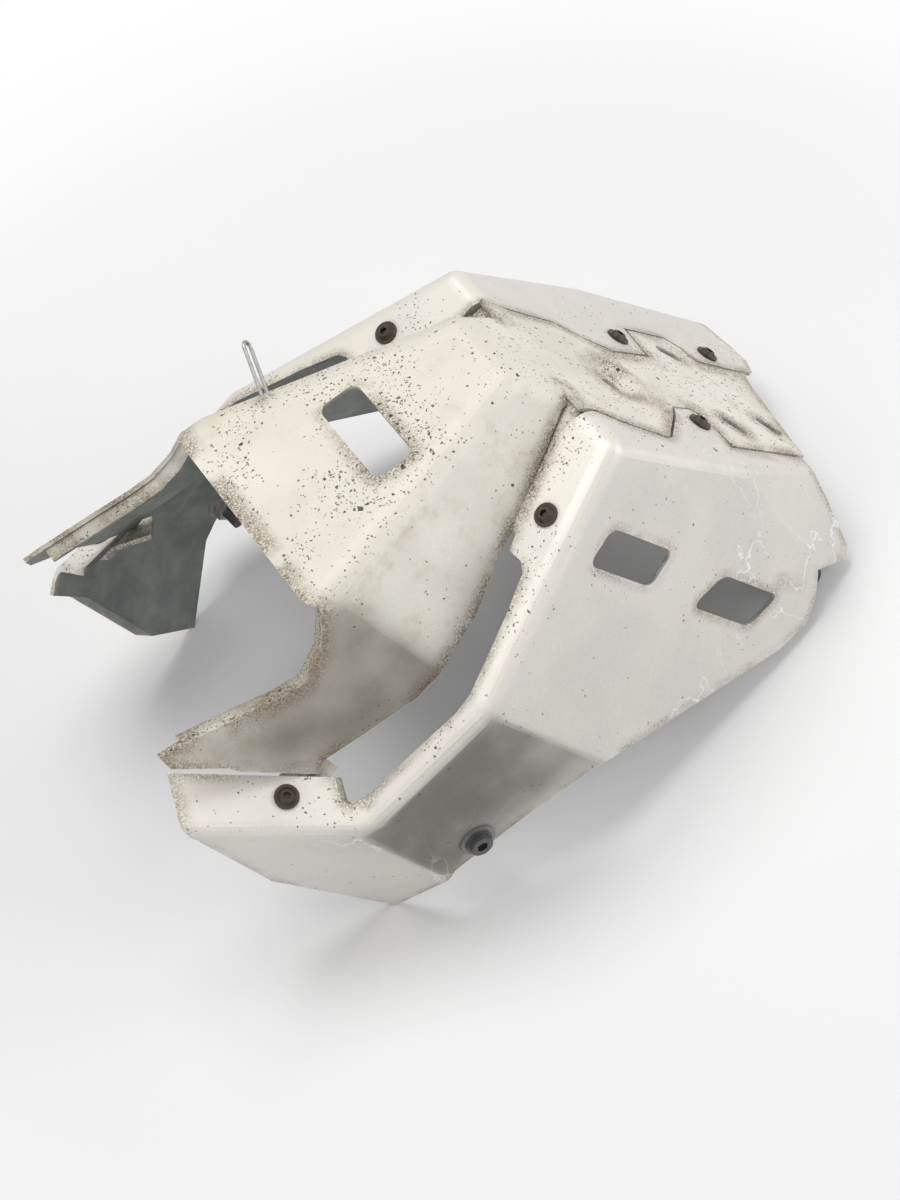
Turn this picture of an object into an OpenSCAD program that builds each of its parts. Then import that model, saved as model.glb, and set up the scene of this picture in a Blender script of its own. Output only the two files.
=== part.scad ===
// Engine skid plate for a motorbike: a pressed centre plate and two side plates, bolted together.
// Drawn belly up with the nose at minus X, then tipped back as it lies. Millimetres.

/* [Sheet] */
// thickness of the aluminium sheet
sheet = 3; // [2:0.5:4]
// outer radius of the bends in the side plates
bend_side = 11; // [8:1:14]
// outer radius of the bends round the lower tab
bend_tab = 9; // [7:1:13]
// outer radius of the bends in the centre plate
bend_nose = 16; // [11:1:20]
// clearance where one sheet lies under another
lap = 0.3; // [0.2:0.1:0.6]

/* [Side plates] */
// half width of the belly at the side bends
belly_half = 83; // [80:1:86]
// lean of the side faces out of the vertical
side_lean = 24; // [22:1:26]
// outward flare of the far side face towards the rear
far_flare = 7; // [6:0.5:7.5]
// how far the front strips stand behind the origin
strip_x = 110; // [107:1:113]
// backward slope of the front strips
strip_slope = 18.5; // [17.5:0.5:19.5]
// window length in the side plate
window_long = 56; // [50:1:60]
// window height in the side plate
window_high = 23; // [20:1:25]
// corner radius of every window
window_round = 6; // [4:1:8]

/* [Nose] */
// where the nose face meets the belly
nose_x = 147; // [144:1:150]
// slope of the nose face above the level
nose_slope = 55; // [53:1:57]
// width of the nose window
nose_window_wide = 62; // [54:1:68]
// height of the nose window along the slope
nose_window_high = 25; // [20:1:28]
// width of the stiffening lip round the front opening
lip_wide = 10; // [7:1:12]

/* [Belly] */
// diameter of the pressed mounting dimple
dimple_wide = 42; // [38:1:46]
// depth of the mounting dimple
dimple_deep = 6; // [4:1:8]
// diameter of the mounting hole in the dimple
mount_hole = 14; // [12:1:16]
// length of the drain slots
slot_long = 19; // [17:1:21]
// width of the drain slots
slot_wide = 8; // [6:1:10]

/* [Fasteners] */
// flange diameter of the plate screws
screw_flange = 13.6; // [13:0.2:14.4]
// shank diameter of the plate screws
screw_shank = 6; // [5:0.5:6]
// across flats of the plate nuts
nut_flats = 10; // [9:0.5:11]
// head diameter of the lower mounting bolts
bolt_head = 16; // [15:0.5:18]
// shank diameter of the lower mounting bolts
bolt_shank = 8; // [7:0.5:8]
// outer diameter of the rear rubber grommets
grommet_wide = 22; // [20:1:24]
// wire diameter of the hose clip on the nose
wire = 2.2; // [1.8:0.1:2.6]

/* [Hidden] */

// A face plane is [outward normal, distance]; turn is the compass turn from minus X towards minus Y.
function face(turn, rise, through) =
  let (n = [-cos(rise) * cos(turn), -cos(rise) * sin(turn), sin(rise)]) [n, n * through];
function inset(f, d) = [f[0], f[1] - d];
function meet(a, b, c) =
  (a[1] * cross(b[0], c[0]) + b[1] * cross(c[0], a[0]) + c[1] * cross(a[0], b[0]))
    / (a[0] * cross(b[0], c[0]));
function centre(f, g, h, d) = meet(inset(f, d), inset(g, d), inset(h, d));
function unit(v) = v / norm(v);
function across(n) = abs(n[2]) > 0.999 ? [1, 0, 0] : unit(cross([0, 0, 1], n));
// The point of a face plane at a given x and z, or at a given y and z.
function at_xz(f, x, z) = [x, (f[1] - f[0][0] * x - f[0][2] * z) / f[0][1], z];
function at_yz(f, y, z) = [(f[1] - f[0][1] * y - f[0][2] * z) / f[0][0], y, z];
// A position on a face plane in that plane's own two directions.
function flat(f, p) = [p * across(f[0]), p * cross(f[0], across(f[0]))];

// Stands its children on a face plane, their z along the outward normal, at point p.
module stand(f, p) {
  n = f[0];
  u = across(n);
  v = cross(n, u);
  rows = [for (i = [0, 1, 2]) [u[i], v[i], n[i], p[i]]];
  multmatrix([rows[0], rows[1], rows[2], [0, 0, 0, 1]]) children();
}

module foot_of(f) { stand(f, f[0] * f[1]) children(); }

module rounded(w, h, r) {
  hull() for (i = [-1, 1], j = [-1, 1])
    translate([i * (w / 2 - r), j * (h / 2 - r)]) circle(r, $fn = 32);
}

belly = face(0, 90, [0, 0, 0]);
function side_face(flare) = face(90 - flare, side_lean, [-strip_x, -belly_half, 0]);
function lower_face(flare) = face(85 - flare, 0.5, kink(flare));
function rear_face(flare) = face(99.5 - flare, 37.5, [0, -belly_half - 110 * tan(flare), 0]);
strip_face = face(0, strip_slope, [-strip_x, 0, 0]);
function kink(flare) = meet(side_face(flare), strip_face, face(0, -90, [0, 0, -138]));
function elbow(flare) = meet(strip_face, lower_face(flare), face(0, -90, [0, 0, -228]));
tab_face = face(33, 40.8, [-214, -109.5, -231]);
function foot_face(flare) = face(75.6, -28.5, elbow(flare));
nose_face = face(0, 90 - nose_slope, [-nose_x, 0, 0]);
cheek_face = face(76.4, 28.6, [-240, -79, -131]);
arm_face = face(71.2, 11.4, [-240, -75, -131]);

function wall_x(x) = [[1, 0, 0], x];
function wall_front(x) = [[-1, 0, 0], -x];
function wall_in(y) = [[0, 1, 0], y];
function wall_low(z) = [[0, 0, -1], -z];
function wall_top(z) = [[0, 0, 1], z];

module ball(r) {
  rotate_extrude($fn = 24) polygon([for (a = [-90:15:90]) [max(0, r * cos(a)), r * sin(a)]]);
}

// Tub of the near side plate: ball radius r, open sides moved out by e.
module side_tub(flare, r, e) {
  b = bend_side;
  s = side_face(flare); l = lower_face(flare); q = rear_face(flare);
  g = foot_face(flare); f = strip_face;
  back = wall_x(190 + e); inner = wall_in(-14 + e); low = wall_low(-370 - e);
  ends = [centre(belly, s, f, b), centre(belly, s, q, b), centre(belly, q, back, b),
    centre(s, q, back, b), centre(s, l, back, b), centre(s, f, l, b), centre(f, l, g, b),
    centre(l, g, back, b), centre(g, low, back, b), centre(g, low, f, b),
    centre(belly, f, inner, b), centre(belly, back, inner, b),
    centre(f, low, inner, b), centre(low, back, inner, b)];
  hull() for (p = ends) translate(p) ball(r);
}

module tab_tub(flare, r, e) {
  b = bend_tab;
  l = lower_face(flare); g = foot_face(flare); c = tab_face;
  front = wall_front(-300 - e); back = wall_x(-90 + e); inner = wall_in(-40 + e);
  top = wall_top(-190 + e); low = wall_low(-310 - e);
  ends = [centre(c, l, g, b), centre(c, g, front, b), centre(c, inner, front, b),
    centre(c, l, top, b), centre(c, inner, top, b), centre(l, top, back, b),
    centre(inner, top, back, b), centre(l, g, back, b), centre(g, low, front, b),
    centre(g, low, back, b), centre(inner, low, front, b), centre(inner, low, back, b)];
  hull() for (p = ends) translate(p) ball(r);
}

// Front view of a side plate, y and z: the strip, its lap tab and the lower tab.
strip_outline = [[-14, 20], [-14, -4], [-50, -8], [-52, -16], [-59, -32], [-74, -61], [-82, -76],
  [-92, -75], [-98, -78], [-110, -99], [-129, -138], [-131, -150], [-130, -170], [-128, -219],
  [-124, -219], [-113, -213], [-72, -250], [-71, -252], [-102, -269], [-105, -300], [-230, -300],
  [-230, 20]];

// Side view of a side plate, x and z, with its own rear end.
near_profile = [[-300, 20], [79, 20], [79, 1], [101, -14], [130, -36], [131, -42], [96, -47],
  [100, -60], [101, -71], [97, -78], [80, -92], [-53, -161], [-82, -205], [-104, -246],
  [-100, -294], [-180, -296], [-249, -269], [-300, -269]];
far_profile = [[-300, 20], [150, 20], [130, -20], [101, -71], [97, -78], [80, -92], [-53, -161],
  [-82, -205], [-104, -246], [-100, -294], [-180, -296], [-236, -273], [-236, -200], [-300, -200]];

// Belly view of a side plate, x and y, with its screw tab.
near_flange = [[-300, -240], [-300, -52], [-112, -52], [-98, -52], [-84, -58], [-50, -66], [-44, -63],
  [-20, -40], [-12, -30], [4, -28], [8, -32], [11, -46], [9, -63], [84, -59], [200, -60], [200, -240]];
far_flange = [[-300, -240], [-300, -52], [-112, -52], [-94, -46], [-56, -43], [-40, -32], [-20, -24],
  [14, -28], [18, -56], [56, -56], [65, -48], [70, -35], [104, -34], [126, -37], [133, -50], [132, -66],
  [124, -92], [106, -112], [106, -240]];

module side_blank(flare, profile, flange) {
  intersection() {
    difference() {
      union() { side_tub(flare, bend_side, 0); tab_tub(flare, bend_tab, 0); }
      side_tub(flare, bend_side - sheet, 12);
      tab_tub(flare, bend_tab - sheet, 12);
    }
    rotate([90, 0, 90]) translate([0, 0, -310]) linear_extrude(520) polygon(strip_outline);
    rotate([90, 0, 0]) linear_extrude(240) polygon(profile);
    translate([0, 0, -310]) linear_extrude(330) polygon(flange);
  }
}

// Window at x and z on the side face, leaning forward like the fold in front of it.
module side_window(flare, x, z, shear) {
  f = side_face(flare);
  stand(f, at_xz(f, x, z)) translate([0, 0, -20]) rotate(-8) multmatrix([[1, shear, 0, 0], [0, 1, 0, 0]])
    linear_extrude(30) rounded(window_long, window_high, window_round);
}

strip_screw = at_yz(strip_face, -83, -50);
tab_screw = at_yz(tab_face, -109.5, -231);
belly_screws = [[0, -41.5], [0, 41.5], [89, 46]];

module screw_hole(d) { translate([0, 0, -20]) cylinder(h = 40, d = d, $fn = 32); }

module side_holes(flare) {
  stand(strip_face, strip_screw) screw_hole(screw_shank + 0.6);
  stand(tab_face, tab_screw) screw_hole(screw_shank + 0.6);
  stand(lower_face(flare), lower_spot(flare)) screw_hole(bolt_shank + 0.6);
}

function lower_spot(flare) = at_xz(lower_face(flare), -104, -222);

module near_side_plate() {
  color([0.80, 0.79, 0.77]) difference() {
    union() {
      side_blank(0, near_profile, near_flange);
      belly_lip();
      grommet_ear(0);
    }
    side_window(0, -73, -54, 0.35);
    side_window(0, 27, -69, 0.75);
    side_holes(0);
    translate([belly_screws[0][0], belly_screws[0][1], 0]) screw_hole(screw_shank + 0.6);
    grommet_bore(0);
  }
}

module far_side_plate() {
  color([0.78, 0.79, 0.77]) difference() {
    union() {
      mirror([0, 1, 0]) side_blank(far_flare, far_profile, far_flange);
      mirror([0, 1, 0]) grommet_ear(far_flare);
    }
    mirror([0, 1, 0]) side_window(far_flare, -73, -54, 0.35);
    mirror([0, 1, 0]) side_window(far_flare, 27, -69, 0.75);
    mirror([0, 1, 0]) side_holes(far_flare);
    for (i = [1, 2]) translate([belly_screws[i][0], belly_screws[i][1], 0]) screw_hole(screw_shank + 0.6);
    mirror([0, 1, 0]) grommet_bore(far_flare);
  }
}

// Lip that runs on under the centre plate, joined to the flange by a step.
module belly_lip() {
  translate([0, 0, -2 * sheet - lap]) linear_extrude(sheet)
    polygon([[20, -47], [76, -44], [76, -61], [20, -65]]);
  translate([0, 0, -2 * sheet - lap]) linear_extrude(2 * sheet + lap - 1)
    polygon([[20, -63], [76, -59.8], [76, -63], [20, -67]]);
}

// Rear ear with its grommet, standing inside the side face.
grommet_spot = [108, -88, -62];
module grommet_ear(flare) {
  translate(grommet_spot) rotate([90, 0, 0]) translate([0, 0, -sheet / 2])
    linear_extrude(sheet) difference() {
      hull() {
        circle(d = grommet_wide - 1, $fn = 48);
        translate([-34, 14]) square([30, 20], center = true);
      }
    }
  translate(grommet_spot + [-48, 1, 4]) mirror([0, 1, 0]) cube([28, 20 + 170 * tan(flare), sheet]);
}
module grommet_bore(flare) {
  translate(grommet_spot) rotate([90, 0, 0]) translate([0, 0, -10])
    cylinder(h = 20, d = grommet_wide - 6, $fn = 48);
}

// Tub of the centre plate's nose, both halves.
module nose_tub(r, e) {
  b = bend_nose;
  back = wall_x(-80 + e); low = wall_low(-280 - e);
  ends = [centre(belly, nose_face, cheek_face, b), centre(nose_face, cheek_face, arm_face, b),
    centre(cheek_face, arm_face, back, b), centre(belly, cheek_face, back, b),
    centre(nose_face, arm_face, low, b), centre(arm_face, back, low, b)];
  hull() for (p = ends, m = [1, -1]) translate([p[0], p[1] * m, p[2]]) ball(r);
}

// Side view of the nose and arms, x and z.
nose_profile = [[-100, 20], [-170, 20], [-262, -118], [-243, -134], [-233, -131], [-225, -152],
  [-226, -170], [-236, -183], [-254, -200], [-276, -222], [-284, -232], [-276, -236], [-247, -227],
  [-230, -227], [-222, -240], [-204, -240], [-198, -222], [-199, -208], [-184, -188], [-164, -160],
  [-157, -143], [-149, -126], [-142, -113], [-134, -82], [-127, -66], [-124, -58], [-119, -35],
  [-112, -8], [-100, 0]];
lip_line = [[-233, -131], [-225, -152], [-226, -170], [-236, -183], [-254, -200], [-276, -222]];

module arm_lip() {
  outer = [for (p = lip_line) flat(arm_face, at_xz(arm_face, p[0], p[1]))];
  inner = [for (i = [len(lip_line) - 1:-1:0]) let (p = lip_line[i])
    flat(arm_face, at_xz(arm_face, p[0] + 2.6, p[1] - 1.6))];
  foot_of(arm_face) translate([0, 0, -lip_wide - 1]) linear_extrude(lip_wide + 0.4)
    polygon(concat(outer, inner));
}

// Web behind the front strip that carries the strip screw.
web_outline = [[-30, -1.5], [-44, -26], [-60, -58], [-68, -70], [-92, -68], [-94, -48], [-84, -32],
  [-66, -12], [-50, -12], [-49, -1.5]];
module strip_web() {
  f = inset(strip_face, sheet + lap);
  foot_of(f) translate([0, 0, -sheet]) linear_extrude(sheet)
    polygon([for (p = web_outline) flat(f, at_yz(f, p[0], p[1]))]);
}

// What the side plate's lower tab and its clearance take away from the arm.
tab_cover = [[-131, -216], [-124, -217], [-113, -211], [-72, -248], [-60, -262], [-110, -280],
  [-150, -240]];
module tab_bed() {
  intersection() {
    foot_of(inset(tab_face, sheet + lap / 2)) translate([-300, -500, 0]) cube([600, 600, 40]);
    rotate([90, 0, 90]) translate([0, 0, -310]) linear_extrude(200) polygon(tab_cover);
  }
}

// Tab behind the side plate's lower tab, with its screw.
module arm_tab() {
  f = inset(tab_face, 2 * sheet + lap);
  stand(f, at_yz(f, -107, -229)) linear_extrude(sheet)
    polygon([[-11, -13], [5, -13], [8, -8], [8, 22], [-14, 22], [-14, -8]]);
}

// Belly view of the centre plate, x and y.
belly_outline = [[-112, 52], [-94, 44.5], [-56, 41.5], [-39, 30], [-20, 22], [16, 26], [20, 54], [55, 54.5],
  [63, 46], [68, 33], [104, 32], [114, 33], [106, 17], [101, 0],
  [91, -36], [86, -56], [14, -60.5], [12, -46], [9, -31], [5, -26.5], [-13, -28.5], [-21.5, -39],
  [-45, -61.5], [-50, -64], [-84, -56], [-98, -50], [-112, -50]];

module belly_sheet() {
  difference() {
    translate([0, 0, -sheet]) linear_extrude(sheet) polygon(belly_outline);
    translate([-112, -60, -4]) cube([2, 120, 5]);
  }
  // lowered beds under the two side plate tabs and under the rear tab of the far plate
  bed([[-24, -24], [14, -24], [14, -52], [-26, -52]]);
  bed([[-30, 18], [20, 20], [20, 50], [-34, 50]]);
  bed([[64, 28], [106, 28], [106, 56], [62, 56], [60, 44]]);
}

module bed(outline) {
  translate([0, 0, -2 * sheet - lap]) linear_extrude(sheet) polygon(outline);
  translate([0, 0, -sheet - lap - 0.2]) linear_extrude(sheet + lap + 0.2) intersection() {
    polygon(outline);
    polygon(belly_outline);
  }
}

dimple_spot = [-45, -8, 0];
module dimple(grow) {
  translate(dimple_spot) rotate_extrude($fn = 48)
    polygon([[0, -dimple_deep - grow], [mount_hole / 2 + 4, -dimple_deep - grow],
      [dimple_wide / 2 - 2, -grow], [dimple_wide / 2 + grow, 0.01 - grow * 0.2], [0, 0.01]]);
}

module slot(x, y, turn) {
  translate([x, y, -20]) rotate(turn) linear_extrude(30) hull() for (i = [-1, 1])
    translate([i * (slot_long - slot_wide) / 2, 0]) circle(d = slot_wide, $fn = 32);
}

module centre_plate() {
  color([0.84, 0.83, 0.78]) difference() {
    union() {
      intersection() {
        difference() { nose_tub(bend_nose, 0); nose_tub(bend_nose - sheet, 12); }
        rotate([90, 0, 0]) translate([0, 0, -120]) linear_extrude(240) polygon(nose_profile);
      }
      belly_sheet();
      dimple(sheet);
      for (m = [0, 1]) mirror([0, m, 0]) { arm_lip(); strip_web(); arm_tab(); }
    }
    dimple(0);
    for (m = [0, 1]) mirror([0, m, 0]) {
      tab_bed();
      stand(tab_face, tab_screw) translate([0, 0, -2 * sheet - lap - 16])
        cylinder(h = 16, d = nut_flats + 5, $fn = 48);
    }
    translate(dimple_spot) screw_hole(mount_hole);
    stand(nose_face, at_yz(nose_face, -1.5, -65.5)) translate([0, 0, -20]) linear_extrude(30)
      rounded(nose_window_wide, nose_window_high, window_round);
    for (m = [0, 1]) mirror([0, m, 0]) {
      stand(strip_face, strip_screw) screw_hole(screw_shank + 0.6);
      stand(tab_face, tab_screw) screw_hole(screw_shank + 0.6);
    }
    for (s = belly_screws) translate([s[0], s[1], 0]) screw_hole(screw_shank + 0.6);
    at_clip() for (i = [-1, 1]) translate([i * 4, 0, -8]) cylinder(h = 16, d = wire + 0.4, $fn = 24);
    slot(38, -36, -52);
    slot(78, -29, -52);
    slot(43, 36, -35);
  }
}

// Socket screw with a flanged button head; z = 0 under the head.
module flange_screw() {
  difference() {
    union() {
      cylinder(h = 1.2, d = screw_flange, $fn = 48);
      translate([0, 0, 1]) cylinder(h = 2.3, d1 = screw_flange - 3, d2 = 7, $fn = 48);
      translate([0, 0, -13]) cylinder(h = 13.5, d = screw_shank - 0.2, $fn = 32);
    }
    translate([0, 0, 1.3]) cylinder(h = 3, d = 4.6, $fn = 6);
  }
}

module plate_nut() {
  translate([0, 0, -2 * sheet - lap - 6]) difference() {
    union() {
      cylinder(h = 6, d = nut_flats / cos(30), $fn = 6);
      translate([0, 0, 4.8]) cylinder(h = 1.2, d = nut_flats + 4, $fn = 48);
    }
    translate([0, 0, -1]) cylinder(h = 8, d = screw_shank, $fn = 32);
  }
}

module at_screws() {
  for (m = [0, 1]) mirror([0, m, 0]) {
    stand(strip_face, strip_screw) children();
    stand(tab_face, tab_screw) children();
  }
  for (s = belly_screws) translate([s[0], s[1], 0]) children();
}

module plate_screws() { color([0.33, 0.30, 0.27]) at_screws() flange_screw(); }
module plate_nuts() { color([0.55, 0.55, 0.56]) at_screws() plate_nut(); }

module at_lower() {
  for (m = [0, 1]) mirror([0, m, 0])
    stand(lower_face(m * far_flare), lower_spot(m * far_flare)) children();
}

module lower_bolts() {
  color([0.42, 0.42, 0.44]) at_lower() difference() {
    union() {
      translate([0, 0, 1.6]) cylinder(h = 5, d = bolt_head - 3, $fn = 48);
      translate([0, 0, 1.6]) cylinder(h = 1.5, d = bolt_head, $fn = 48);
      translate([0, 0, -22]) cylinder(h = 24, d = bolt_shank - 0.2, $fn = 32);
    }
    translate([0, 0, 3.6]) cylinder(h = 4, d = 6.9, $fn = 6);
  }
}

module lower_washers() {
  color([0.60, 0.60, 0.62]) at_lower() difference() {
    cylinder(h = 1.6, d = bolt_head + 5, $fn = 48);
    translate([0, 0, -1]) cylinder(h = 4, d = bolt_shank + 0.4, $fn = 32);
  }
}

module lower_nuts() {
  color([0.55, 0.55, 0.56]) at_lower() translate([0, 0, -sheet - 8.1]) difference() {
    union() {
      cylinder(h = 8, d = 13 / cos(30), $fn = 6);
      translate([0, 0, 6.6]) cylinder(h = 1.4, d = 17.5, $fn = 48);
    }
    translate([0, 0, -1]) cylinder(h = 10, d = bolt_shank, $fn = 32);
  }
}

module at_grommets() {
  for (m = [0, 1]) mirror([0, m, 0]) translate(grommet_spot) rotate([90, 0, 0]) children();
}

module rear_grommets() {
  color([0.10, 0.11, 0.13]) at_grommets() rotate_extrude($fn = 48)
    polygon([[6.2, -7], [grommet_wide / 2 - 1, -7], [grommet_wide / 2, -6],
      [grommet_wide / 2, -sheet / 2 - 0.1], [grommet_wide / 2 - 3.2, -sheet / 2 - 0.1],
      [grommet_wide / 2 - 3.2, sheet / 2 + 0.1],
      [grommet_wide / 2, sheet / 2 + 0.1], [grommet_wide / 2, 6], [grommet_wide / 2 - 1, 7], [6.2, 7]]);
}

module rear_sleeves() {
  color([0.62, 0.62, 0.64]) at_grommets() difference() {
    translate([0, 0, -7.5]) cylinder(h = 15, d = 12.2, $fn = 48);
    translate([0, 0, -9]) cylinder(h = 18, d = 8.4, $fn = 48);
  }
}

// Wire loop through the far cheek: two legs and a round top.
module at_clip() {
  mirror([0, 1, 0]) stand(cheek_face, at_xz(cheek_face, -205, -92)) rotate(-10) children();
}

module wire_clip() {
  color([0.72, 0.72, 0.72]) at_clip() {
    for (i = [-1, 1]) translate([i * 4, 0, -6]) cylinder(h = 32, d = wire, $fn = 24);
    translate([0, 0, 26]) rotate([90, 0, 0]) rotate_extrude(angle = 180, $fn = 48)
      translate([4, 0]) circle(d = wire, $fn = 24);
  }
}

// Tips the plate back until its low front corners and its rear grommets stand on one floor.
rest_corner = [-100, -294];
rest_span = [grommet_spot[0] - rest_corner[0], grommet_spot[2] - rest_corner[1]];
tip_back = atan2(rest_span[1], rest_span[0]) - asin(grommet_wide / 2 / norm(rest_span));
rest_drop = rest_corner[0] * sin(tip_back) - rest_corner[1] * cos(tip_back);
middle = [139.2, -2.4];
module lay() {
  translate([middle[0], middle[1], rest_drop]) rotate([0, tip_back, 0]) children();
}

lay() centre_plate();
lay() near_side_plate();
lay() far_side_plate();
lay() plate_screws();
lay() plate_nuts();
lay() lower_bolts();
lay() lower_washers();
lay() lower_nuts();
lay() rear_grommets();
lay() rear_sleeves();
lay() wire_clip();
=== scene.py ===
import math

import bmesh
import bpy
import numpy as np
from mathutils import Matrix, Vector


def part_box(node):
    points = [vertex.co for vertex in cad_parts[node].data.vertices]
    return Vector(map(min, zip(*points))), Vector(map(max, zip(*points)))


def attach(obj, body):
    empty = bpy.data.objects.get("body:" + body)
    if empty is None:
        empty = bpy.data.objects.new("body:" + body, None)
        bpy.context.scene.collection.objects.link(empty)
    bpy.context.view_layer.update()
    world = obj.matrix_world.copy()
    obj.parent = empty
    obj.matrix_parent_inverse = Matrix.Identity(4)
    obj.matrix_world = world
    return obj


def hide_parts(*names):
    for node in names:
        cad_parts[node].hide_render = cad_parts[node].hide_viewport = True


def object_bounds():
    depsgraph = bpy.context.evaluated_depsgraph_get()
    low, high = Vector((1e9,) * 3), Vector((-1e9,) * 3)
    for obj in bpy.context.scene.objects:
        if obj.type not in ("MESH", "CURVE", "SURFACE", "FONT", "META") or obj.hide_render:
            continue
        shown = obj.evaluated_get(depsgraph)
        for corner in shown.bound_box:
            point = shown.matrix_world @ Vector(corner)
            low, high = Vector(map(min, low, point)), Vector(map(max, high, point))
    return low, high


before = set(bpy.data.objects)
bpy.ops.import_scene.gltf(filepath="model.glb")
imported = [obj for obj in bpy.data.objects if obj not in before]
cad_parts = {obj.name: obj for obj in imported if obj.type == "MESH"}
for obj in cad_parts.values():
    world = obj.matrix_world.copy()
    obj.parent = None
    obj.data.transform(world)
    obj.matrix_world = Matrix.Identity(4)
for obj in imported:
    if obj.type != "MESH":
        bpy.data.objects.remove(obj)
cadLow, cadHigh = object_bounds()
print("frame loaded:", len(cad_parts), "CAD nodes")

# The plate is drawn belly up in millimetres and then tipped back. These place its own points in the frame.
plate = {"tipBack": 46.1, "sleeveX": 108, "sleeveZ": -62, "hollow": (-60, 0, -190)}
sleeveLow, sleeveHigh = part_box("rear_sleeves")
turn = Matrix.Rotation(math.radians(plate["tipBack"]), 3, "Y")
sleeveMiddle = (sleeveLow + sleeveHigh) / 2
plateOrigin = sleeveMiddle - turn @ Vector((plate["sleeveX"], 0, plate["sleeveZ"])) / 1000


def lying(x, y, z):
    return plateOrigin + turn @ Vector((x, y, z)) / 1000


def faceNormal(compass, rise):
    # outward normal of a face of the plate, from its turn off the nose and its rise above the level
    c, r = math.radians(compass), math.radians(rise)
    return turn @ Vector((-math.cos(r) * math.cos(c), -math.cos(r) * math.sin(c), math.sin(r)))


# Shader helpers: a value is a number, a colour or another node's socket.
def feed(tree, socket, value):
    if isinstance(value, bpy.types.NodeSocket):
        tree.links.new(value, socket)
    else:
        socket.default_value = value


def addNode(tree, kind, inputs=None, **settings):
    node = tree.nodes.new(kind)
    for name, value in settings.items():
        setattr(node, name, value)
    for name, value in (inputs or {}).items():
        feed(tree, node.inputs[name], value)
    return node


def maths(tree, operation, a, b=0.0):
    return addNode(tree, "ShaderNodeMath", {0: a, 1: b}, operation=operation).outputs[0]


def times(tree, first, *others):
    for other in others:
        first = maths(tree, "MULTIPLY", first, other)
    return first


def plus(tree, a, b):
    return maths(tree, "ADD", a, b)


def axisOf(tree, vector, axis):
    return addNode(tree, "ShaderNodeSeparateXYZ", {0: vector}).outputs["XYZ".index(axis)]


def ramped(tree, value, low, high):
    # 0 below low, 1 above high, smooth between; low may be the greater
    node = addNode(tree, "ShaderNodeMapRange", {"Value": value}, interpolation_type="SMOOTHSTEP")
    node.inputs["From Min"].default_value = min(low, high)
    node.inputs["From Max"].default_value = max(low, high)
    node.inputs["To Min"].default_value = 0.0 if low < high else 1.0
    node.inputs["To Max"].default_value = 1.0 if low < high else 0.0
    return node.outputs["Result"]


def mixed(tree, share, first, second):
    node = addNode(tree, "ShaderNodeMix", data_type="RGBA")
    feed(tree, node.inputs[0], share)
    feed(tree, node.inputs[6], first)
    feed(tree, node.inputs[7], second)
    return node.outputs[2]


def noiseOf(tree, place, size, detail=3.0, rough=0.55):
    node = addNode(tree, "ShaderNodeTexNoise", {"Vector": place, "Scale": 1 / size})
    node.inputs["Detail"].default_value = detail
    node.inputs["Roughness"].default_value = rough
    return node.outputs["Fac"]


def warped(tree, place, size, reach):
    # moves each point by up to reach, by a noise of that size, so that what is drawn there is crooked
    noise = addNode(tree, "ShaderNodeTexNoise", {"Vector": place, "Scale": 1 / size, "Detail": 1.0})
    node = addNode(tree, "ShaderNodeVectorMath", operation="MULTIPLY_ADD")
    feed(tree, node.inputs[0], noise.outputs["Color"])
    feed(tree, node.inputs[1], (reach, reach, reach))
    feed(tree, node.inputs[2], place)
    return node.outputs[0]


def dotsOf(tree, place, size, radius, share):
    # specks of random width on a jittered grid, in as many of its cells as share says
    node = addNode(tree, "ShaderNodeTexVoronoi", {"Vector": place, "Scale": 1 / size})
    own = addNode(tree, "ShaderNodeSeparateColor", {"Color": node.outputs["Color"]})
    reach = times(tree, maths(tree, "POWER", own.outputs[0], 1.8), radius)
    present = maths(tree, "LESS_THAN", own.outputs[1], share)
    dot = ramped(tree, maths(tree, "SUBTRACT", node.outputs["Distance"], reach), 0.0, -0.05)
    return times(tree, dot, present)


def stretched(tree, place, scale, angle=(0, 0, 0)):
    inputs = {"Vector": place, "Scale": scale, "Rotation": angle}
    return addNode(tree, "ShaderNodeMapping", inputs).outputs[0]


def whiteRays(tree):
    # 1 for the rays that should see a white background: the camera's, and those off metal or through glass
    path = addNode(tree, "ShaderNodeLightPath")
    seen = maths(tree, "MAXIMUM", path.outputs["Is Camera Ray"], path.outputs["Is Glossy Ray"])
    return maths(tree, "MAXIMUM", seen, path.outputs["Is Transmission Ray"])


def startMaterial(name):
    material = bpy.data.materials.new(name)
    material.use_nodes = True
    tree = material.node_tree
    shader = tree.nodes["Principled BSDF"]
    place = addNode(tree, "ShaderNodeTexCoord").outputs["Object"]
    return material, tree, shader, place


def bumped(tree, shader, height, depth, strength):
    bump = addNode(tree, "ShaderNodeBump", {"Height": height, "Distance": depth, "Strength": strength})
    tree.links.new(bump.outputs["Normal"], shader.inputs["Normal"])


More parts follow.
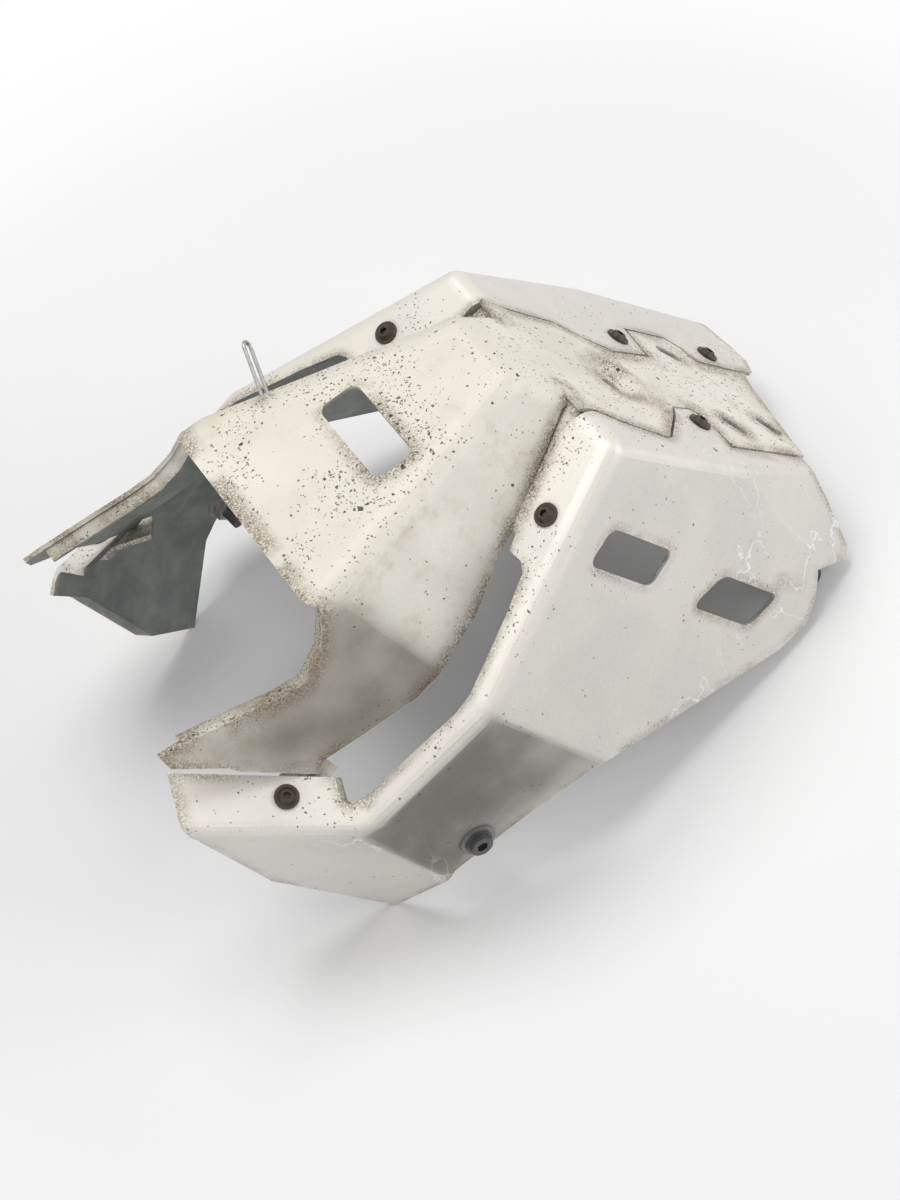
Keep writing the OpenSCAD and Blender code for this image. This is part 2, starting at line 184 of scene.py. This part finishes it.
# Bead blasted sheet with dust film, brown dirt along its edges, dark specks and dried water marks. Each kind
# of speck has the size of its cells in metres, its width in cells, the share of cells and its tone. The road
# grime tone is partly painted shade: it lies on the steep face named by its turn and rise in degrees.
# dirtReach is in millimetres.
black, brown = (0.018, 0.015, 0.011, 1), (0.11, 0.075, 0.04, 1)
centreLook = {
    "base": (0.80, 0.77, 0.69, 1), "second": (0.68, 0.66, 0.585, 1), "dirt": (0.19, 0.13, 0.075, 1),
    "film": (0.50, 0.41, 0.29, 1), "grimeAndShadeTone": (0.12, 0.10, 0.075, 1), "grimeAndShade": 0.90, "metal": 0.14,
    "rough": 0.56, "edgeDirt": 0.92, "dirtReach": 10.0, "marks": 0.0, "filmShare": 0.42,
    "settled": (0.74, 0.695, 0.58, 1), "settledShare": 0.55, "grimeAndShadeFace": (71.2, 11.4),
    "specks": [(0.0013, 0.62, 0.80, brown), (0.0023, 0.50, 0.40, black), (0.0062, 0.36, 0.16, black)],
}
sideLook = {
    "base": (0.69, 0.66, 0.62, 1), "second": (0.63, 0.615, 0.575, 1), "dirt": (0.23, 0.165, 0.10, 1),
    "film": (0.52, 0.47, 0.40, 1), "grimeAndShadeTone": (0.085, 0.083, 0.070, 1), "grimeAndShade": 0.86, "metal": 0.30,
    "rough": 0.45, "edgeDirt": 0.72, "dirtReach": 7.0, "marks": 0.60, "filmShare": 0.12,
    "settled": (0.80, 0.765, 0.68, 1), "settledShare": 0.75, "grimeAndShadeFace": (85, 0.5),
    "specks": [(0.0013, 0.60, 0.45, brown), (0.0022, 0.46, 0.12, black), (0.0070, 0.32, 0.03, black)],
}


def attribute(tree, name):
    return addNode(tree, "ShaderNodeAttribute", attribute_name=name).outputs["Fac"]


def waterMarks(tree, place, facing, rim, upness, broad):
    # thin crooked lines where a stretched noise crosses its middle value, on low and rear faces, not on tops
    wander = noiseOf(tree, stretched(tree, place, (1, 1, 0.45)), 0.030, 4.0, 0.55)
    offMiddle = maths(tree, "ABSOLUTE", maths(tree, "SUBTRACT", wander, 0.5))
    line = ramped(tree, offMiddle, 0.010, 0.002)
    rearward = ramped(tree, axisOf(tree, place, "X"), 0.06, 0.13)
    underside = ramped(tree, axisOf(tree, facing, "Z"), 0.02, -0.12)
    footward = ramped(tree, axisOf(tree, place, "Z"), 0.075, 0.03)
    wet = maths(tree, "MAXIMUM", rearward, maths(tree, "MAXIMUM", underside, footward))
    wet = times(tree, wet, ramped(tree, rim, 40.0, 16.0), maths(tree, "SUBTRACT", 1.0, upness))
    return times(tree, line, wet, ramped(tree, broad, 0.42, 0.6))


def sheetMaterial(name, look):
    material, tree, shader, place = startMaterial(name)
    rim = attribute(tree, "rimGap")
    facing = addNode(tree, "ShaderNodeNewGeometry").outputs["Normal"]
    upness = ramped(tree, axisOf(tree, facing, "Z"), 0.55, 0.9)
    broad = noiseOf(tree, place, 0.07, 2.0)
    patch = noiseOf(tree, place, 0.022, 4.0, 0.65)
    fine = noiseOf(tree, place, 0.0007, 2.0, 0.7)
    brushed = noiseOf(tree, stretched(tree, place, (0.15, 1, 1), (0.2, 0.6, 0.3)), 0.0012, 2.0)
    colour = mixed(tree, ramped(tree, broad, 0.35, 0.65), look["base"], look["second"])
    pitted = times(tree, ramped(tree, fine, 0.35, 0.7), 0.14)
    colour = mixed(tree, pitted, colour, (0.25, 0.23, 0.2, 1))
    polished = times(tree, ramped(tree, brushed, 0.5, 0.72), 0.10)
    colour = mixed(tree, polished, colour, (0.9, 0.9, 0.88, 1))
    filmed = times(tree, ramped(tree, patch, 0.5, 0.72), look["filmShare"])
    colour = mixed(tree, filmed, colour, look["film"])
    # pale dust lies on what faces up
    settled = times(tree, upness, ramped(tree, broad, 0.2, 0.5), look["settledShare"])
    colour = mixed(tree, settled, colour, look["settled"])
    # road grime and painted shade together on the steep face that stood in the road spray, a little broken up
    # by noise
    patchiness = ramped(tree, noiseOf(tree, place, 0.085, 2.0, 0.5), 0.25, 0.60)
    patchiness = times(tree, patchiness, ramped(tree, patch, -0.4, 0.6), 0.5)
    sprayedAndShaded = times(tree, attribute(tree, "grimeAndShade"), plus(tree, patchiness, 0.5), look["grimeAndShade"])
    colour = mixed(tree, sprayedAndShaded, colour, look["grimeAndShadeTone"])
    # dirt gathers beside edges and windows
    nearRim = ramped(tree, rim, look["dirtReach"], 0.2)
    gritty = ramped(tree, noiseOf(tree, place, 0.0011, 3.0, 0.8), 0.38, 0.56)
    clumped = ramped(tree, noiseOf(tree, place, 0.03, 3.0), 0.32, 0.56)
    dirty = times(tree, nearRim, gritty, clumped)
    colour = mixed(tree, times(tree, dirty, look["edgeDirt"]), colour, look["dirt"])
    # specks crowd together where dust settled and towards the edges
    crowd = plus(tree, times(tree, upness, 0.82), 0.10)
    crowd = times(tree, crowd, ramped(tree, noiseOf(tree, place, 0.04, 3.0), 0.36, 0.66))
    crowd = times(tree, crowd, plus(tree, ramped(tree, rim, 45.0, 4.0), 0.25))
    crooked = warped(tree, place, 0.0013, 0.0022)
    for size, width, share, tone in look["specks"]:
        specks = dotsOf(tree, crooked, size, width, times(tree, crowd, share))
        colour = mixed(tree, times(tree, specks, 0.9), colour, tone)
    if look["marks"]:
        marks = times(tree, waterMarks(tree, place, facing, rim, upness, broad), look["marks"])
        colour = mixed(tree, marks, colour, (0.93, 0.93, 0.92, 1))
    # bare bright metal on the cut edges themselves; painted shade, dark green grey, on the faces turned into
    # the hollow
    cut = times(tree, ramped(tree, rim, 0.9, 0.1), 0.35)
    colour = mixed(tree, cut, colour, (0.85, 0.84, 0.8, 1))
    patchy = ramped(tree, patch, 0.35, 0.7)
    insideShadeTone = mixed(tree, patchy, (0.16, 0.19, 0.18, 1), (0.30, 0.32, 0.30, 1))
    colour = mixed(tree, times(tree, attribute(tree, "innerShade"), 0.85), colour, insideShadeTone)
    feed(tree, shader.inputs["Base Color"], colour)
    shader.inputs["Metallic"].default_value = look["metal"]
    rough = plus(tree, times(tree, patch, 0.18), look["rough"] - 0.08)
    feed(tree, shader.inputs["Roughness"], plus(tree, rough, times(tree, dirty, 0.3)))
    bumped(tree, shader, fine, 0.00009, 0.5)
    return material


def metalMaterial(name, base, stain, rough, rust, metal=0.85):
    # turned or plated steel: fine grain with dirt in it, and stains in patches
    material, tree, shader, place = startMaterial(name)
    grain = noiseOf(tree, place, 0.0005, 3.0, 0.7)
    stains = noiseOf(tree, place, 0.0032, 4.0, 0.7)
    colour = mixed(tree, times(tree, ramped(tree, stains, 0.42, 0.62), rust), base, stain)
    packed = times(tree, ramped(tree, grain, 0.45, 0.7), 0.3)
    colour = mixed(tree, packed, colour, (0.05, 0.045, 0.04, 1))
    feed(tree, shader.inputs["Base Color"], colour)
    shader.inputs["Metallic"].default_value = metal
    feed(tree, shader.inputs["Roughness"], plus(tree, times(tree, stains, 0.3), rough))
    bumped(tree, shader, grain, 0.00012, 0.6)
    return material


def rubberMaterial(name):
    material, tree, shader, place = startMaterial(name)
    dust = noiseOf(tree, place, 0.004, 4.0, 0.7)
    grain = noiseOf(tree, place, 0.0006, 2.0)
    dusty = times(tree, ramped(tree, dust, 0.5, 0.75), 0.35)
    colour = mixed(tree, dusty, (0.022, 0.030, 0.040, 1), (0.20, 0.19, 0.17, 1))
    feed(tree, shader.inputs["Base Color"], colour)
    feed(tree, shader.inputs["Roughness"], plus(tree, times(tree, dust, 0.3), 0.3))
    bumped(tree, shader, grain, 0.0001, 0.5)
    return material


# Each sheet is dressed as a finer copy of its CAD node, which carries where its edges and insides are.
# Lengths are in metres and angles in degrees, apart from rimReach, which is in millimetres as rimGap is.
sheetDetail = {
    "weld": 0.00002, "flatAngle": 0.4, "rimAngle": 35, "rimStep": 0.0015, "rimReach": 60.0,
    "longestEdge": 0.006, "passes": 7, "pointsAtOnce": 400, "innerGain": 4,
    "grimeAndShadeFrom": 0.955, "grimeAndShadeFull": 0.985, "grimeAndShadeRounds": 30,
}


def rimPoints(bm):
    # points along each edge where two faces meet at more than rimAngle, which is also marked as sharp
    least = math.radians(sheetDetail["rimAngle"])
    sharp = [e for e in bm.edges if e.is_manifold and e.calc_face_angle(0) > least]
    ends = np.array([[e.verts[0].co[:], e.verts[1].co[:]] for e in sharp])
    lengths = np.linalg.norm(ends[:, 1] - ends[:, 0], axis=1)
    counts = np.maximum(1, (lengths / sheetDetail["rimStep"]).astype(int))
    owner = np.repeat(np.arange(len(ends)), counts)
    step = np.arange(len(owner)) - np.repeat(np.cumsum(counts) - counts, counts)
    share = ((step + 0.5) / counts[owner])[:, None]
    for e in sharp:
        e.smooth = False
    return ends[owner, 0] * (1 - share) + ends[owner, 1] * share


def nearestGap(points, rims):
    # distance from each point to its nearest rim point, worked out a block of points at a time
    rims = rims.astype(np.float32)
    blocks = np.array_split(points.astype(np.float32), max(1, len(points) // sheetDetail["pointsAtOnce"]))
    squares = (rims * rims).sum(1)
    found = [((b * b).sum(1)[:, None] + squares - 2 * b @ rims.T).min(1) for b in blocks]
    return np.sqrt(np.maximum(np.concatenate(found), 0))


def setAttribute(mesh, name, values):
    layer = mesh.attributes.new(name, "FLOAT", "POINT")
    layer.data.foreach_set("value", values.astype(np.float32))


def spread(mesh, values, rounds):
    # each round moves every point's value halfway to the mean of its neighbours
    ends = np.empty(len(mesh.edges) * 2, dtype=np.int32)
    mesh.edges.foreach_get("vertices", ends)
    one, other = ends.reshape(-1, 2).T
    starts, stops = np.concatenate([one, other]), np.concatenate([other, one])
    counts = np.maximum(np.bincount(starts, minlength=len(values)), 1)
    for _ in range(rounds):
        means = np.bincount(starts, values[stops], minlength=len(values)) / counts
        values = (values + means) / 2
    return values


def refinedSheet(node, pieceName):
    # the CAD node's mesh, merged, with its flat faces cut into small triangles, and the points along its rims
    bm = bmesh.new()
    bm.from_mesh(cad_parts[node].data)
    bmesh.ops.remove_doubles(bm, verts=bm.verts, dist=sheetDetail["weld"])
    bmesh.ops.dissolve_degenerate(bm, dist=sheetDetail["weld"], edges=bm.edges)
    flat = math.radians(sheetDetail["flatAngle"])
    bmesh.ops.dissolve_limit(bm, angle_limit=flat, verts=bm.verts, edges=bm.edges)
    bmesh.ops.triangulate(bm, faces=bm.faces)
    rims = rimPoints(bm)
    for _ in range(sheetDetail["passes"]):
        long = [e for e in bm.edges if e.calc_length() > sheetDetail["longestEdge"]]
        if not long:
            break
        bmesh.ops.subdivide_edges(bm, edges=long, cuts=1)
        bmesh.ops.triangulate(bm, faces=[f for f in bm.faces if len(f.verts) > 3])
    for f in bm.faces:
        f.smooth = True
    mesh = bpy.data.meshes.new(pieceName)
    bm.to_mesh(mesh)
    bm.free()
    return mesh, rims


def dressSheet(node, pieceName, material, look):
    mesh, rims = refinedSheet(node, pieceName)
    count = len(mesh.vertices)
    points, normals = np.empty(count * 3), np.empty(count * 3)
    mesh.vertices.foreach_get("co", points)
    mesh.vertex_normals.foreach_get("vector", normals)
    points, normals = points.reshape(-1, 3), normals.reshape(-1, 3)
    setAttribute(mesh, "rimGap", np.minimum(nearestGap(points, rims) * 1000, sheetDetail["rimReach"]))
    # how far each point faces the hollow of the plate, which sets where the painted shade of the inner faces
    # goes
    towards = np.array(lying(*plate["hollow"])) - points
    towards /= np.linalg.norm(towards, axis=1)[:, None]
    inward = (normals * towards).sum(1) * sheetDetail["innerGain"]
    setAttribute(mesh, "innerShade", np.clip(inward, 0, 1))
    # road grime and painted shade lie on the faces turned like the look's chosen face, on both sides of the
    # plate
    gx, gy, gz = faceNormal(*look["grimeAndShadeFace"])
    turned = np.abs(normals[:, 0] * gx + normals[:, 2] * gz) + np.abs(normals[:, 1] * gy)
    grimyAndShaded = (turned - sheetDetail["grimeAndShadeFrom"]) / (sheetDetail["grimeAndShadeFull"] - sheetDetail["grimeAndShadeFrom"])
    setAttribute(mesh, "grimeAndShade", spread(mesh, np.clip(grimyAndShaded, 0, 1), sheetDetail["grimeAndShadeRounds"]))
    piece = bpy.data.objects.new(pieceName, mesh)
    bpy.context.scene.collection.objects.link(piece)
    mesh.materials.append(material)
    even = piece.modifiers.new("evenNormals", "WEIGHTED_NORMAL")
    even.keep_sharp = True
    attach(piece, "root")
    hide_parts(node)
    print(pieceName, len(mesh.polygons), "faces")


centreSheet = sheetMaterial("blastedCentreSheet", centreLook)
sideSheet = sheetMaterial("blastedSideSheet", sideLook)
dressSheet("centre_plate", "centrePlate", centreSheet, centreLook)
dressSheet("near_side_plate", "nearSidePlate", sideSheet, sideLook)
dressSheet("far_side_plate", "farSidePlate", sideSheet, sideLook)

# Each fastener's base colour, stain colour, least roughness and share of stain, and how metallic it is.
darkSteel, rust = (0.042, 0.036, 0.030, 1), (0.085, 0.052, 0.025, 1)
hardware = {
    "plate_screws": metalMaterial("rustyScrewSteel", darkSteel, rust, 0.32, 0.7, 0.6),
    "plate_nuts": metalMaterial("zincNut", (0.50, 0.50, 0.48, 1), (0.30, 0.26, 0.20, 1), 0.32, 0.5),
    "lower_bolts": metalMaterial("scuffedBolt", (0.15, 0.15, 0.155, 1), (0.09, 0.08, 0.07, 1), 0.26, 0.5),
    "lower_washers": metalMaterial("greyWasher", (0.28, 0.28, 0.285, 1), (0.22, 0.19, 0.16, 1), 0.30, 0.5),
    "lower_nuts": metalMaterial("plainNut", (0.48, 0.48, 0.47, 1), (0.26, 0.22, 0.17, 1), 0.34, 0.5),
    "rear_grommets": rubberMaterial("mouldedRubber"),
    "rear_sleeves": metalMaterial("turnedSleeve", (0.52, 0.52, 0.52, 1), (0.30, 0.27, 0.22, 1), 0.28, 0.4),
    "wire_clip": metalMaterial("brightWire", (0.42, 0.41, 0.39, 1), (0.22, 0.20, 0.18, 1), 0.22, 0.4, 1.0),
}
for nodeName, material in hardware.items():
    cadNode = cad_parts[nodeName]
    cadNode.data.materials.clear()
    cadNode.data.materials.append(material)
print("materials set")

# Floor, world and lamps. The world is white to the camera and in reflections, and so is the floor once clear
# of the plate, between the two distances in metres. Nearer in it is lit as it is, and keeps the shadow.
stage = {
    "floorSize": 12.0, "floorTone": (0.96, 0.96, 0.96, 1), "floorRough": 0.8, "world": 0.36,
    "clear": (0.36, 0.66),
}
bpy.ops.mesh.primitive_plane_add(size=stage["floorSize"])
floor = bpy.context.object
floor.name = "floor"
floorMaterial, tree, shader, place = startMaterial("paleFloor")
shader.inputs["Base Color"].default_value = stage["floorTone"]
shader.inputs["Roughness"].default_value = stage["floorRough"]
shader.inputs["Specular IOR Level"].default_value = 0.1
away = addNode(tree, "ShaderNodeVectorMath", {0: place}, operation="LENGTH").outputs["Value"]
white = addNode(tree, "ShaderNodeEmission", {"Color": (1, 1, 1, 1), "Strength": 1.0})
share = times(tree, whiteRays(tree), ramped(tree, away, *stage["clear"]))
joined = addNode(tree, "ShaderNodeMixShader", {0: share, 1: shader.outputs[0], 2: white.outputs[0]})
tree.links.new(joined.outputs[0], tree.nodes["Material Output"].inputs["Surface"])
floor.data.materials.append(floorMaterial)

world = bpy.data.worlds.new("studio")
bpy.context.scene.world = world
world.use_nodes = True
tree = world.node_tree
level = plus(tree, times(tree, whiteRays(tree), 1.0 - stage["world"]), stage["world"])
background = tree.nodes["Background"]
background.inputs["Color"].default_value = (1, 1, 1, 1)
feed(tree, background.inputs["Strength"], level)

lamps = [
    # name, direction from the plate, distance in metres, side in metres, level on a surface that faces it
    ("topLamp", (-0.05, 0.25, 0.95), 1.6, 1.0, 0.58),
    ("rightFill", (0.80, -0.55, 0.30), 1.6, 1.1, 0.40),
    ("leftFill", (-0.80, -0.50, 0.22), 1.6, 1.0, 0.20),
]
plateMiddle = (cadLow + cadHigh) / 2
for name, direction, distance, side, lampLevel in lamps:
    data = bpy.data.lights.new(name, "AREA")
    data.shape, data.size = "SQUARE", side
    # the watts at which a white surface that faces the lamp, at that distance, renders at that level
    data.energy = lampLevel * math.pi ** 2 * distance ** 2
    lamp = bpy.data.objects.new(name, data)
    towards = Vector(direction).normalized()
    lamp.location = plateMiddle + towards * distance
    lamp.rotation_euler = towards.to_track_quat("Z", "Y").to_euler()
    bpy.context.scene.collection.objects.link(lamp)
print("stage lit")

# The photo's camera, in the plate's own axes: where it stands, and which way is forward and up.
view = {
    "stand": (-1164, -867, 444), "forward": (0.724, 0.563, -0.399),
    "up": (-0.075, 0.639, 0.766), "lens": 78.6,
}
cameraData = bpy.data.cameras.new("photoCamera")
cameraData.lens, cameraData.sensor_width = view["lens"], 36
camera = bpy.data.objects.new("photoCamera", cameraData)
bpy.context.scene.collection.objects.link(camera)
ahead = (turn @ Vector(view["forward"])).normalized()
above = turn @ Vector(view["up"])
above = (above - ahead * above.dot(ahead)).normalized()
right = ahead.cross(above)
axes = Matrix((right, above, -ahead)).transposed().to_4x4()
camera.matrix_world = Matrix.Translation(lying(*view["stand"])) @ axes
bpy.context.scene.camera = camera
bpy.context.scene.view_settings.view_transform = "Standard"
